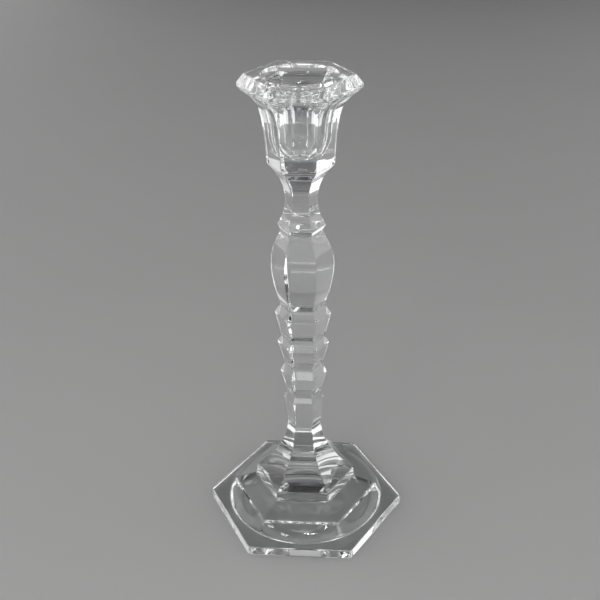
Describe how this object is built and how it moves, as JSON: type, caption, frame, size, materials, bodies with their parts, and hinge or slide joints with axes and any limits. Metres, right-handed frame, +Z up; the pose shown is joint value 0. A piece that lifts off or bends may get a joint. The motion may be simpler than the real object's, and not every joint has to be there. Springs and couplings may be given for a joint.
{
  "type": "glass candlestick",
  "caption": "Tall six-sided clear glass candlestick: hexagonal foot with round dome, flared column, stacked rings, baluster, neck and flared candle cup.",
  "frame": {"origin": "centre of the foot's resting face, on the table", "axes": "+Z up along the candlestick's axis, towards the candle; one flat side of every hexagon faces -Y"},
  "size_m": [0.1014, 0.0878, 0.229],
  "materials": {
    "clear_glass": "clear colourless pressed glass, fire-polished to a high gloss"
  },
  "bodies": {
    "root": {"foot": "clear_glass", "flared_column": "clear_glass", "lower_ring": "clear_glass", "middle_ring": "clear_glass", "upper_ring": "clear_glass", "baluster": "clear_glass", "neck": "clear_glass", "candle_cup": "clear_glass"}
  },
  "joints": []
}
